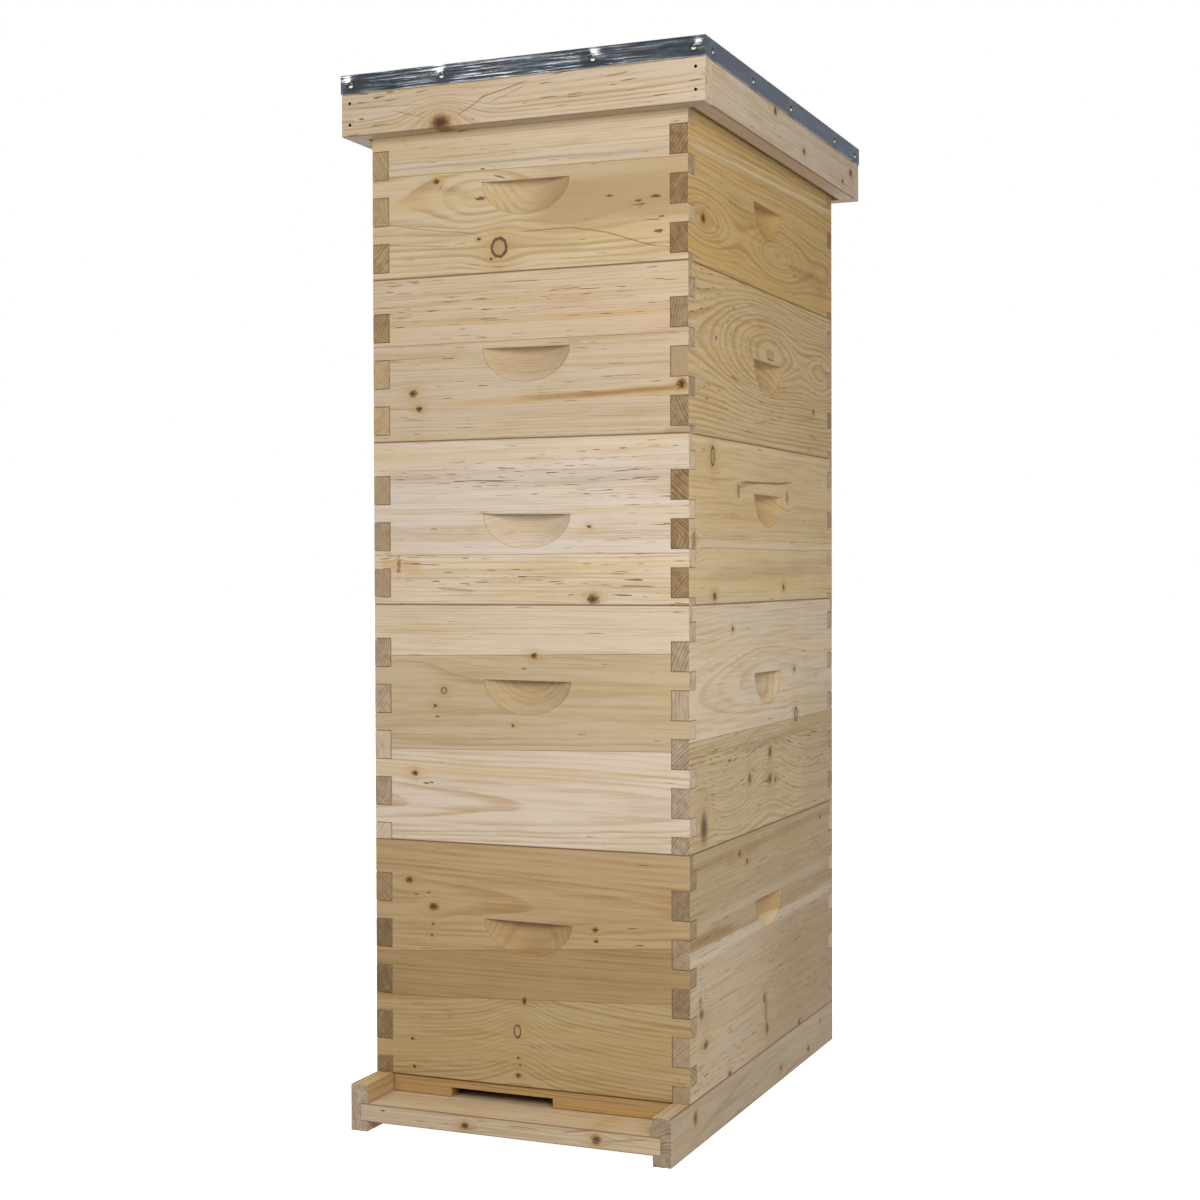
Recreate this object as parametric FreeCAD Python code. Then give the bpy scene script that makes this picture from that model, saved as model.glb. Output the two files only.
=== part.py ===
"""Eight-frame beehive with two deep brood boxes and three shallower honey supers, in millimetres.

X runs across the hive, Y from the entrance at -Y to the back, and Z up.
The origin is on the ground, under the centre of the hive's bounding box.
"""
import FreeCAD, Part
import os
from math import pi, sqrt

Vector = FreeCAD.Vector

# Boards and boxes
BOARD = 19.05
BOX_WIDTH = 349.25
BOX_LENGTH = 504.8
DEEP_HEIGHT = 244.5
MEDIUM_HEIGHT = 168.3
DEEP_FRAME_HEIGHT = 231.8
MEDIUM_FRAME_HEIGHT = 158.8

# Bottom board
BASE_HEIGHT = 47.6
LANDING_LENGTH = 54.0
FLOOR_THICKNESS = 18.0
ENTRANCE_HEIGHT = 19.0
RAIL_GROOVE_DEPTH = 8.0
FLOOR_BOARDS = ("floor_board_front", "floor_board_middle", "floor_board_rear")
REDUCER_RECESS = 1.5
REDUCER_CLEARANCE = 0.5
REDUCER_NOTCH = (-88.0, 26.0)
REDUCER_NOTCH_HEIGHT = 10.0

# Box joints at the corners: the end board's top finger, then side-board fingers at a pitch
TOP_FINGER = 35.5
SIDE_FINGER = 29.4
FINGER_PITCH = 48.0
GLUE_LINE = 0.2

# Ledge that the frame ears hang on, along the top inner edge of each end board
REST_DEPTH = 15.9
REST_WIDTH = 9.5

# Half-moon hand grips
GRIP_WIDTH = 98.0
GRIP_HEIGHT = 35.5
GRIP_DEPTH = 12.7
GRIP_DROP = 76.5
HIGH_GRIP_DROP = 52.5

# Frames
FRAMES_PER_BOX = 8
TOP_BAR_LENGTH = 482.6
TOP_BAR_WIDTH = 27.0
TOP_BAR_THICKNESS = 19.0
EAR_THICKNESS = 9.5
NECK_WIDTH = 22.0
END_BAR_SPAN = 447.7
END_BAR_WIDTH = 34.9
END_BAR_FOOT_WIDTH = 28.6
END_BAR_THICKNESS = 9.5
SHOULDER_LENGTH = 75.0
SHOULDER_TAPER = 12.0
BOTTOM_BAR_WIDTH = 19.0
BOTTOM_BAR_THICKNESS = 9.5
FOUNDATION_THICKNESS = 2.0
FOUNDATION_TUCK = 5.0

# Inner cover
INNER_COVER_HEIGHT = 22.1
INNER_PANEL_THICKNESS = 6.4
INNER_PANEL_LIFT = 6.35
INNER_GROOVE_DEPTH = 6.0
INNER_HOLE_LENGTH = 76.0
INNER_HOLE_WIDTH = 38.0
INNER_NOTCH_WIDTH = 25.4
INNER_NOTCH_DEPTH = 9.5

# Telescoping outer cover
COVER_WIDTH = 400.05
COVER_LENGTH = 558.8
COVER_FRONT = 20.5
COVER_OVERLAP = 21.5
SHEET = 0.8
SHEET_BAND = 19.8
NAIL_HEAD_RADIUS = 2.8
NAIL_HEAD_HEIGHT = 1.2
NAIL_SHANK_RADIUS = 1.1
NAIL_SHANK_LENGTH = 10.0
SHEET_NAIL_DROP = 11.0
END_NAILS = (-188.0, -83.0, 83.0, 188.0)
SIDE_NAILS = (22.0, 147.0, 278.0, 450.0, 540.0)
RIM_NAIL_HEIGHTS = (12.0, 34.0)
RIM_NAIL_INSET = 9.5
RIM_NAIL_LENGTH = 45.0
RIM_NAIL_RADIUS = 1.6

# Places worked out from the sizes above
COVER_BACK = COVER_LENGTH - BOX_LENGTH - COVER_FRONT
HIVE_LENGTH = LANDING_LENGTH + BOX_LENGTH + COVER_BACK + NAIL_HEAD_HEIGHT
FRONT = LANDING_LENGTH - HIVE_LENGTH / 2
BACK = FRONT + BOX_LENGTH
MIDDLE = (FRONT + BACK) / 2
HALF_WIDTH = BOX_WIDTH / 2
ACROSS = (-HALF_WIDTH, HALF_WIDTH)
INNER_HALF = HALF_WIDTH - BOARD
LANDING_EDGE = FRONT - LANDING_LENGTH
FLOOR_TOP = BASE_HEIGHT - ENTRANCE_HEIGHT
FLOOR = (FLOOR_TOP - FLOOR_THICKNESS, FLOOR_TOP)

# Name, height, frame height and the drop of the side hand grips
BOXES = (
    ("deep_1", DEEP_HEIGHT, DEEP_FRAME_HEIGHT, GRIP_DROP),
    ("deep_2", DEEP_HEIGHT, DEEP_FRAME_HEIGHT, GRIP_DROP),
    ("super_1", MEDIUM_HEIGHT, MEDIUM_FRAME_HEIGHT, HIGH_GRIP_DROP),
    ("super_2", MEDIUM_HEIGHT, MEDIUM_FRAME_HEIGHT, GRIP_DROP),
    ("super_3", MEDIUM_HEIGHT, MEDIUM_FRAME_HEIGHT, GRIP_DROP),
)


def block(x, y, z):
    """Box from three pairs of limits, each in either order."""
    corner = Vector(min(x), min(y), min(z))
    sizes = [max(pair) - min(pair) for pair in (x, y, z)]
    return Part.makeBox(*sizes, corner)


def rod(start, direction, radius, length):
    """Round bar from a point along a direction."""
    return Part.makeCylinder(radius, length, start, direction)


def cut_all(solid, cutters):
    """Take every cutter away from one solid."""
    return solid.cut(Part.makeCompound(cutters))


def join_all(solids):
    """Fuse touching solids into one, with no seams left on its faces."""
    return solids[0].multiFuse(solids[1:]).removeSplitter().Solids[0]


def save(node, solids):
    """Write one sub-part to its own STEP file."""
    shape = solids[0] if len(solids) == 1 else Part.makeCompound(solids)
    shape.exportStep(os.path.join("parts", node + ".step"))


def make_bottom_board():
    """Two grooved rails, three floor boards between them and a cleat that closes the back."""
    for name, side in (("bottom_rail_left", -1), ("bottom_rail_right", 1)):
        outer = side * HALF_WIDTH
        inner = outer - side * BOARD
        rail = block((outer, inner), (LANDING_EDGE, BACK), (0, BASE_HEIGHT))
        groove = block((inner, inner + side * RAIL_GROOVE_DEPTH), (LANDING_EDGE, BACK), FLOOR)
        save(name, [rail.cut(groove)])
    floor_half = INNER_HALF + RAIL_GROOVE_DEPTH
    board_length = (BACK - LANDING_EDGE) / len(FLOOR_BOARDS)
    for index, name in enumerate(FLOOR_BOARDS):
        start = LANDING_EDGE + index * board_length
        save(name, [block((-floor_half, floor_half), (start, start + board_length), FLOOR)])
    cleat = block((-INNER_HALF, INNER_HALF), (BACK - BOARD, BACK), (FLOOR_TOP, BASE_HEIGHT))
    save("bottom_rear_cleat", [cleat])


def make_entrance_reducer():
    """Loose strip that narrows the entrance to one low notch."""
    front = FRONT + REDUCER_RECESS
    half = INNER_HALF - REDUCER_CLEARANCE
    top = BASE_HEIGHT - REDUCER_CLEARANCE
    strip = block((-half, half), (front, front + BOARD), (FLOOR_TOP, top))
    notch_top = FLOOR_TOP + REDUCER_NOTCH_HEIGHT
    notch = block(REDUCER_NOTCH, (front, front + BOARD), (FLOOR_TOP, notch_top))
    save("entrance_reducer", [strip.cut(notch)])


def finger_spans(z0, height):
    """Heights of the side boards' fingers, the lowest one cut short by the box's bottom edge."""
    spans = []
    high = z0 + height - TOP_FINGER
    while high > z0:
        spans.append((max(high - SIDE_FINGER, z0), high))
        high -= FINGER_PITCH
    return spans


def chord_radius(chord, rise):
    """Radius of the arc with this chord and rise."""
    return (chord ** 2 / 4 + rise ** 2) / (2 * rise)


def grip_cutter(point, outward):
    """Half-moon scoop: the lower half of a flattened ball whose upright axis stands off the board."""
    ledge_radius = chord_radius(GRIP_WIDTH, GRIP_DEPTH)
    ball_height = ledge_radius * 2 * GRIP_HEIGHT / GRIP_WIDTH
    centre = Vector(0, 0, 0)
    bottom = Vector(0, 0, -ball_height)
    rim = Vector(ledge_radius, 0, 0)
    outline = Part.ArcOfEllipse(Part.Ellipse(centre, ledge_radius, ball_height), -pi / 2, 0).toShape()
    outline.rotate(centre, Vector(1, 0, 0), 90)
    profile = Part.Wire([outline, Part.makeLine(rim, centre), Part.makeLine(centre, bottom)])
    cutter = Part.Face(profile).revolve(centre, Vector(0, 0, 1), 360)
    cutter.translate(point + outward * (ledge_radius - GRIP_DEPTH))
    return cutter


def end_board(z0, height, outer, inward):
    """Front or back board, with the side fingers' sockets and the ledge for the frame ears."""
    top = z0 + height
    inner = outer + inward * BOARD
    board = block(ACROSS, (outer, inner), (z0, top))
    cutters = [block(ACROSS, (inner - inward * REST_WIDTH, inner), (top - REST_DEPTH, top))]
    for low, high in finger_spans(z0, height):
        socket = (low - GLUE_LINE, high + GLUE_LINE)
        for side in (-1, 1):
            width = (side * HALF_WIDTH, side * (INNER_HALF - GLUE_LINE))
            cutters.append(block(width, (outer, inner), socket))
    grip_point = Vector(0, outer, top - GRIP_DROP)
    cutters.append(grip_cutter(grip_point, Vector(0, -inward, 0)))
    return cut_all(board, cutters)


def side_board(z0, height, side, grip_drop):
    """Left or right board, with its fingers and the small tongues that fill the ledge's ends."""
    top = z0 + height
    thickness = (side * HALF_WIDTH, side * INNER_HALF)
    reach = BOARD + GLUE_LINE
    pieces = [block(thickness, (FRONT + reach, BACK - reach), (z0, top))]
    for outer, inward in ((FRONT, 1), (BACK, -1)):
        shoulder = outer + inward * reach
        for span in finger_spans(z0, height):
            pieces.append(block(thickness, (outer, shoulder), span))
        tongue = (outer + inward * (BOARD - REST_WIDTH), shoulder)
        pieces.append(block(thickness, tongue, (top - REST_DEPTH, top)))
    grip_point = Vector(side * HALF_WIDTH, MIDDLE, top - grip_drop)
    return join_all(pieces).cut(grip_cutter(grip_point, Vector(side, 0, 0)))


def make_box(name, z0, height, grip_drop):
    """Four boards of one hive body, box-jointed at the corners."""
    save(name + "_front_board", [end_board(z0, height, FRONT, 1)])
    save(name + "_back_board", [end_board(z0, height, BACK, -1)])
    save(name + "_left_board", [side_board(z0, height, -1, grip_drop)])
    save(name + "_right_board", [side_board(z0, height, 1, grip_drop)])


def along(y_start, y_end):
    """Two stretches of the frame's length, one at each end and mirrored about its middle."""
    return ((MIDDLE - y_start, MIDDLE - y_end), (MIDDLE + y_end, MIDDLE + y_start))


def top_bar(x, top):
    """Bar that carries the frame: thin ears, narrow necks in the end bars, and a groove below."""
    half_span = END_BAR_SPAN / 2
    inside = half_span - END_BAR_THICKNESS
    neck = (x - NECK_WIDTH / 2, x + NECK_WIDTH / 2)
    wide = (x - TOP_BAR_WIDTH / 2, x + TOP_BAR_WIDTH / 2)
    full = (top - TOP_BAR_THICKNESS, top)
    thin = (top - EAR_THICKNESS, top)
    pieces = [block(wide, (MIDDLE - inside, MIDDLE + inside), full)]
    pieces += [block(neck, stretch, full) for stretch in along(half_span, inside)]
    pieces += [block(neck, stretch, thin) for stretch in along(TOP_BAR_LENGTH / 2, half_span)]
    slot = (x - FOUNDATION_THICKNESS / 2, x + FOUNDATION_THICKNESS / 2)
    slot_height = (full[0], full[0] + FOUNDATION_TUCK)
    groove = block(slot, (MIDDLE - inside, MIDDLE + inside), slot_height)
    return join_all(pieces).cut(groove)


def end_bar(x, stretch, top, bottom):
    """Upright with wide shoulders that space the frames, forked for the bars above and below."""
    shoulder = END_BAR_WIDTH / 2
    foot = END_BAR_FOOT_WIDTH / 2
    shoulder_low = top - SHOULDER_LENGTH
    foot_high = shoulder_low - SHOULDER_TAPER
    right = [(shoulder, top), (shoulder, shoulder_low), (foot, foot_high), (foot, bottom)]
    outline = right + [(-across, height) for across, height in reversed(right)]
    y_low, y_high = stretch
    points = [Vector(x + across, y_low, height) for across, height in outline]
    face = Part.Face(Part.makePolygon(points + points[:1]))
    bar = face.extrude(Vector(0, y_high - y_low, 0))
    neck = (x - NECK_WIDTH / 2, x + NECK_WIDTH / 2)
    fork = block(neck, stretch, (top - TOP_BAR_THICKNESS, top))
    seat = (x - BOTTOM_BAR_WIDTH / 2, x + BOTTOM_BAR_WIDTH / 2)
    notch = block(seat, stretch, (bottom, bottom + BOTTOM_BAR_THICKNESS))
    return cut_all(bar, [fork, notch])


def bottom_bar(x, bottom):
    """Flat bar let into the feet of both end bars."""
    width = (x - BOTTOM_BAR_WIDTH / 2, x + BOTTOM_BAR_WIDTH / 2)
    length = (MIDDLE - END_BAR_SPAN / 2, MIDDLE + END_BAR_SPAN / 2)
    return block(width, length, (bottom, bottom + BOTTOM_BAR_THICKNESS))


def foundation(x, top, bottom):
    """Wax sheet that the comb is built on, tucked into the top bar's groove."""
    thickness = (x - FOUNDATION_THICKNESS / 2, x + FOUNDATION_THICKNESS / 2)
    inside = END_BAR_SPAN / 2 - END_BAR_THICKNESS
    high = top - TOP_BAR_THICKNESS + FOUNDATION_TUCK
    return block(thickness, (MIDDLE - inside, MIDDLE + inside), (bottom + BOTTOM_BAR_THICKNESS, high))


def frame_centres():
    """Places across the box of its evenly spaced frames."""
    gap = (2 * INNER_HALF - FRAMES_PER_BOX * END_BAR_WIDTH) / (FRAMES_PER_BOX + 1)
    pitch = END_BAR_WIDTH + gap
    first = -INNER_HALF + gap + END_BAR_WIDTH / 2
    return [first + index * pitch for index in range(FRAMES_PER_BOX)]


def make_frames(name, box_top, frame_height):
    """One box's set of hanging frames, their ears on the ledges of the end boards."""
    top = box_top - REST_DEPTH + EAR_THICKNESS
    bottom = top - frame_height
    ends = along(END_BAR_SPAN / 2, END_BAR_SPAN / 2 - END_BAR_THICKNESS)
    centres = frame_centres()
    save(name + "_frame_top_bars", [top_bar(x, top) for x in centres])
    save(name + "_frame_end_bars", [end_bar(x, end, top, bottom) for x in centres for end in ends])
    save(name + "_frame_bottom_bars", [bottom_bar(x, bottom) for x in centres])
    save(name + "_foundations", [foundation(x, top, bottom) for x in centres])


def make_inner_cover(z0):
    """Thin panel with a bee-escape hole, held in the grooves of four rim strips."""
    top = z0 + INNER_COVER_HEIGHT
    panel_low = z0 + INNER_PANEL_LIFT
    panel_z = (panel_low, panel_low + INNER_PANEL_THICKNESS)
    panel_half = INNER_HALF + INNER_GROOVE_DEPTH
    front = FRONT + BOARD - INNER_GROOVE_DEPTH
    back = BACK - BOARD + INNER_GROOVE_DEPTH
    panel = block((-panel_half, panel_half), (front, back), panel_z)
    straight = (INNER_HOLE_LENGTH - INNER_HOLE_WIDTH) / 2
    radius = INNER_HOLE_WIDTH / 2
    hole = [block((-radius, radius), (MIDDLE - straight, MIDDLE + straight), panel_z)]
    for end in (MIDDLE - straight, MIDDLE + straight):
        base = Vector(0, end, panel_low)
        hole.append(rod(base, Vector(0, 0, 1), radius, INNER_PANEL_THICKNESS))
    save("inner_cover_panel", [panel.cut(join_all(hole))])

    notch_half = INNER_NOTCH_WIDTH / 2
    notch = block((-notch_half, notch_half), (FRONT, FRONT + BOARD), (top - INNER_NOTCH_DEPTH, top))
    for end, limits in (("front", (FRONT, FRONT + BOARD)), ("back", (BACK - BOARD, BACK))):
        strip = block(ACROSS, limits, (z0, top)).cut(panel)
        save("inner_cover_rim_" + end, [strip.cut(notch)])
    for side, edge in (("left", -1), ("right", 1)):
        width = (edge * HALF_WIDTH, edge * INNER_HALF)
        strip = block(width, (FRONT + BOARD, BACK - BOARD), (z0, top))
        save("inner_cover_rim_" + side, [strip.cut(panel)])


def nail(head_point, inward):
    """Nail with a low domed head, turned from its profile and driven in along a direction."""
    dome_radius = chord_radius(2 * NAIL_HEAD_RADIUS, NAIL_HEAD_HEIGHT)
    half_edge = NAIL_HEAD_RADIUS / 2
    half_height = sqrt(dome_radius ** 2 - half_edge ** 2) - dome_radius + NAIL_HEAD_HEIGHT
    crown = Vector(0, 0, NAIL_HEAD_HEIGHT)
    rim = Vector(NAIL_HEAD_RADIUS, 0, 0)
    neck = Vector(NAIL_SHANK_RADIUS, 0, 0)
    foot = Vector(NAIL_SHANK_RADIUS, 0, -NAIL_SHANK_LENGTH)
    point = Vector(0, 0, -NAIL_SHANK_LENGTH)
    dome = Part.Arc(crown, Vector(half_edge, 0, half_height), rim).toShape()
    sides = [Part.makeLine(*pair) for pair in ((rim, neck), (neck, foot), (foot, point), (point, crown))]
    profile = Part.Face(Part.Wire([dome] + sides))
    shape = profile.revolve(Vector(0, 0, 0), Vector(0, 0, 1), 360)
    shape.Placement = FreeCAD.Placement(head_point, FreeCAD.Rotation(Vector(0, 0, 1), -inward))
    return shape


def make_outer_cover(z0):
    """Deck on four rim boards that fit loosely over the top box, under a folded metal sheet."""
    half = COVER_WIDTH / 2 - SHEET
    front = FRONT - COVER_FRONT + SHEET
    back = FRONT - COVER_FRONT + COVER_LENGTH - SHEET
    rim = (z0 - COVER_OVERLAP, z0 + INNER_COVER_HEIGHT)
    deck_top = rim[1] + BOARD
    save("cover_rim_front", [block((-half, half), (front, front + BOARD), rim)])
    save("cover_rim_back", [block((-half, half), (back - BOARD, back), rim)])
    save("cover_rim_left", [block((-half, BOARD - half), (front + BOARD, back - BOARD), rim)])
    save("cover_rim_right", [block((half, half - BOARD), (front + BOARD, back - BOARD), rim)])
    save("cover_deck", [block((-half, half), (front, back), (rim[1], deck_top))])

    skin_top = deck_top + SHEET
    outer = block(
        (-half - SHEET, half + SHEET),
        (front - SHEET, back + SHEET),
        (skin_top - SHEET_BAND, skin_top),
    )
    inner = block((-half, half), (front, back), (skin_top - SHEET_BAND, deck_top))
    save("cover_sheet_metal", [outer.cut(inner)])
    make_cover_nails(half, front, back, rim[0], skin_top - SHEET_NAIL_DROP)


def make_cover_nails(half, front, back, rim_low, sheet_nail_z):
    """Nails through the folded sheet, and longer ones through the rim's front and back boards."""
    ahead = Vector(0, 1, 0)
    across = Vector(1, 0, 0)
    sheet_nails = []
    for x in END_NAILS:
        for y, inward in ((front - SHEET, ahead), (back + SHEET, -ahead)):
            point = Vector(x, y, sheet_nail_z)
            sheet_nails.append(nail(point, inward))
    for distance in SIDE_NAILS:
        for x, inward in ((-half - SHEET, across), (half + SHEET, -across)):
            point = Vector(x, front - SHEET + distance, sheet_nail_z)
            sheet_nails.append(nail(point, inward))
    save("cover_sheet_nails", sheet_nails)

    rim_nails = []
    for height in RIM_NAIL_HEIGHTS:
        for x in (RIM_NAIL_INSET - half, half - RIM_NAIL_INSET):
            for y, inward in ((front, ahead), (back, -ahead)):
                start = Vector(x, y, rim_low + height)
                rim_nails.append(rod(start, inward, RIM_NAIL_RADIUS, RIM_NAIL_LENGTH))
    save("cover_rim_nails", rim_nails)


os.makedirs("parts", exist_ok=True)
make_bottom_board()
make_entrance_reducer()
level = BASE_HEIGHT
for box_name, box_height, frame_height, side_grip_drop in BOXES:
    make_box(box_name, level, box_height, side_grip_drop)
    level += box_height
    make_frames(box_name, level, frame_height)
make_inner_cover(level)
make_outer_cover(level)
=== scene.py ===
"""Looks of an eight-frame beehive: bare softwood boxes on a grooved base, under a metal cover.

The frame is in metres. Places and sizes in the wood's patterns are in millimetres.
"""
import math
import random
from collections import namedtuple

import bpy
from mathutils import Matrix, Vector


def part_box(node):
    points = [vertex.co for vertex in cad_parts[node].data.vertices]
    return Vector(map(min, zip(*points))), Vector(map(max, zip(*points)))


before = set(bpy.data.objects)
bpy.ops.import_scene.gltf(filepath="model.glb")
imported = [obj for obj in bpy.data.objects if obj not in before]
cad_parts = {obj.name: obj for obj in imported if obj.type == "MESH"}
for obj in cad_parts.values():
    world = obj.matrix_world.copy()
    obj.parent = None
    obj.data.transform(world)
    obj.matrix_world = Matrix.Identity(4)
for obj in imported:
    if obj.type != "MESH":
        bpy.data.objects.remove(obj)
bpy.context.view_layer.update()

MM = 1000.0
BOXES = ("deep_1", "deep_2", "super_1", "super_2", "super_3")

# Cover nails as in the CAD part: across the ends from the middle, along the sides from the front
END_NAILS = (-188.0, -83.0, 83.0, 188.0)
SIDE_NAILS = (22.0, 147.0, 278.0, 450.0, 540.0)
SHEET_NAIL_DROP = 11.0

# Camera, in metres and degrees
CAMERA_PLACE = (0.8275, -2.0316, 0.5709)
CAMERA_YAW = 22.668
CAMERA_PITCH = -0.863
CAMERA_ROLL = -0.189
CAMERA_LENS = 58.56


def srgb(red, green, blue):
    """Linear colour from an sRGB one whose channels run from 0 to 255."""
    linear = []
    for channel in (red, green, blue):
        level = channel / 255
        linear.append(level / 12.92 if level <= 0.04045 else ((level + 0.055) / 1.055) ** 2.4)
    return (*linear, 1.0)


def tinted(colour, factors):
    """A colour with each channel multiplied by its own factor."""
    return (*[channel * factor for channel, factor in zip(colour, factors)], 1.0)


class Value:
    """What a shader node puts out, with the operators that let formulas be written plainly."""

    def __init__(self, graph, socket):
        self.graph = graph
        self.socket = socket

    def __add__(self, other):
        return self.graph.math("ADD", self, other)

    __radd__ = __add__

    def __sub__(self, other):
        return self.graph.math("SUBTRACT", self, other)

    def __rsub__(self, other):
        return self.graph.math("SUBTRACT", other, self)

    def __mul__(self, other):
        return self.graph.math("MULTIPLY", self, other)

    __rmul__ = __mul__

    def __truediv__(self, other):
        return self.graph.math("DIVIDE", self, other)

    def __pow__(self, power):
        return self.graph.math("POWER", self, power)

    def __abs__(self):
        return self.graph.math("ABSOLUTE", self)

    def sqrt(self):
        return self.graph.math("SQRT", self)

    def exp(self):
        return self.graph.math("EXPONENT", self)

    def floor(self):
        """Greatest whole number that isn't above this."""
        return self.graph.math("FLOOR", self)

    def fract(self):
        return self.graph.math("FRACT", self)

    def above(self, limit):
        """One where this is greater than the limit, and nought elsewhere."""
        return self.graph.math("GREATER_THAN", self, limit)

    def rise(self, low, high):
        """Smooth step from nought at low to one at high; low may be the greater."""
        node = self.graph.add("MapRange", interpolation_type="SMOOTHSTEP")
        for socket, value in zip(node.inputs, (self, low, high, 0.0, 1.0)):
            self.graph.feed(socket, value)
        return Value(self.graph, node.outputs["Result"])

    def clamp(self):
        return self.graph.math("ADD", self, 0.0, use_clamp=True)


class Graph:
    """A material's node tree."""

    def __init__(self, name):
        self.material = bpy.data.materials.new(name)
        self.material.use_nodes = True
        self.nodes = self.material.node_tree.nodes
        self.links = self.material.node_tree.links
        self.nodes.clear()

    def add(self, kind, **settings):
        node = self.nodes.new("ShaderNode" + kind)
        for name, value in settings.items():
            setattr(node, name, value)
        return node

    def feed(self, socket, value):
        """Link a node's output, or set a plain number or colour."""
        if isinstance(value, Value):
            self.links.new(value.socket, socket)
        else:
            socket.default_value = value

    def math(self, operation, *inputs, **settings):
        node = self.add("Math", operation=operation, **settings)
        for socket, value in zip(node.inputs, inputs):
            self.feed(socket, value)
        return Value(self, node.outputs[0])

    def vector(self, x, y, z):
        node = self.add("CombineXYZ")
        for socket, value in zip(node.inputs, (x, y, z)):
            self.feed(socket, value)
        return Value(self, node.outputs[0])

    def split(self, socket):
        node = self.add("SeparateXYZ")
        self.links.new(socket, node.inputs[0])
        return [Value(self, output) for output in node.outputs]

    def coordinates(self):
        """Object coordinates in millimetres."""
        return [axis * MM for axis in self.split(self.add("TexCoord").outputs["Object"])]

    def normal(self):
        return self.split(self.add("TexCoord").outputs["Normal"])

    def noise(self, x, y=0.0, z=0.0, detail=2.0, roughness=0.5):
        """Cloudy noise about nought, mostly within a quarter of it."""
        node = self.add("TexNoise", noise_dimensions="3D")
        self.feed(node.inputs["Vector"], self.vector(x, y, z))
        self.feed(node.inputs["Scale"], 1.0)
        self.feed(node.inputs["Detail"], detail)
        self.feed(node.inputs["Roughness"], roughness)
        return Value(self, node.outputs[0]) - 0.5

    def chance(self, value):
        """A fixed random number from nought to one for each whole number."""
        node = self.add("TexWhiteNoise", noise_dimensions="1D")
        self.feed(node.inputs["W"], value)
        return Value(self, node.outputs["Value"])

    def mix(self, first, second, amount):
        """First colour where the amount is nought, second where it is one."""
        node = self.add("Mix", data_type="RGBA")
        colours = [socket for socket in node.inputs if socket.type == "RGBA"]
        self.feed(node.inputs[0], amount)
        self.feed(colours[0], first)
        self.feed(colours[1], second)
        return Value(self, [socket for socket in node.outputs if socket.type == "RGBA"][0])

    def mix_value(self, first, second, amount):
        return first + (second - first) * amount

    def finish(self, colour, roughness, height, **constants):
        """Principled surface; the height is in millimetres, and constants set sockets by name."""
        shader = self.add("BsdfPrincipled")
        self.feed(shader.inputs["Base Color"], colour)
        self.feed(shader.inputs["Roughness"], roughness)
        for name, value in constants.items():
            self.feed(shader.inputs[name.replace("_", " ")], value)
        bump = self.add("Bump")
        self.feed(bump.inputs["Distance"], 1 / MM)
        self.feed(bump.inputs["Height"], height)
        self.links.new(bump.outputs["Normal"], shader.inputs["Normal"])
        output = self.add("OutputMaterial")
        self.links.new(shader.outputs[0], output.inputs["Surface"])
        return self.material


# Wood. Along a board runs u, across its face v, and w is the depth below its outer face.
# A stave lies above the seam at height `low`, which climbs by `slope` per millimetre. Its rings
# are `spacing` apart, on cylinders about a pith line at height `pith`, `depth` behind the face.
# The line goes away by `tilt` per millimetre, or comes nearer, which draws cathedral arches.
# A loop bends the rings round a spot, and dashes are a row of denser flecks.
Stave = namedtuple(
    "Stave", "low colour pith depth tilt spacing slope contrast flecks", defaults=(0.0, 1.0, 0.3)
)
Knot = namedtuple("Knot", "u v radius kind tall", defaults=(1.0,))
Loop = namedtuple("Loop", "u v length height lift stave", defaults=(0,))
Streak = namedtuple("Streak", "u0 v0 u1 v1 width colour strength")
Dashes = namedtuple("Dashes", "v height amount")

# Kinds of knot, and how much longer along the grain than tall each is
RING, DARK, PIN, SMEAR = "ring", "dark", "pin", "smear"
KNOT_STRETCH = {RING: 1.05, DARK: 1.3, PIN: 3.2, SMEAR: 1.0}

# Part of a streak's length over which either end fades in
STREAK_FADE = 0.12

# Stains and marks
GOLD = srgb(190, 150, 88)
UMBER = srgb(112, 78, 44)
GREY_BLUE = srgb(150, 146, 140)
GREY_BROWN = srgb(126, 104, 82)
PINK = srgb(204, 176, 150)
DUSK = srgb(168, 142, 102)
OLIVE = srgb(148, 112, 56)
PALE = srgb(224, 208, 184)
FLECK = srgb(88, 58, 36)
KNOT_CORE = srgb(60, 38, 24)
KNOT_BARK = srgb(118, 80, 44)
KNOT_STAIN = srgb(174, 140, 82)
KNOT_RIM = srgb(50, 34, 22)
KNOT_HEART = srgb(172, 141, 102)

# Factors on a stave's own colour
LATEWOOD = (0.76, 0.64, 0.46)
WARM = (0.97, 0.88, 0.68)
COOL = (0.93, 0.92, 0.95)
SCOOPED = (0.80, 0.70, 0.54)
END_GRAIN = (0.84, 0.78, 0.70)
END_LATEWOOD = (0.55, 0.48, 0.40)

# Everything on one board; `scooped` is the factor on its colours inside the hand scoop
Board = namedtuple(
    "Board", "staves knots loops streaks dashes scooped", defaults=((), (), (), (), SCOOPED)
)

# How far the growth rings stray from true cylinders, in millimetres, and from even years
SLOW_WANDER = 9.0
QUICK_WANDER = 1.8
RING_UNEVENNESS = 2.6

# Step in the noise from one stave to the next, so that no two share their fibres
STAVE_SHIFT = 19.0

# How much each layer darkens the clear wood
BASE_TONE = 0.12
RING_TONE = 0.8
FIBRE_TONE = 2.8
BAND_TONE = 1.1
BLOTCH_TONE = 0.7
SCOOP_TONE = 0.4

# Side boards' corner fingers as in the CAD part: the top one starts below the edge by TOP_FINGER
TOP_FINGER = 35.5
SIDE_FINGER = 29.4
FINGER_PITCH = 48.0
BOARD_THICKNESS = 19.05


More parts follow.
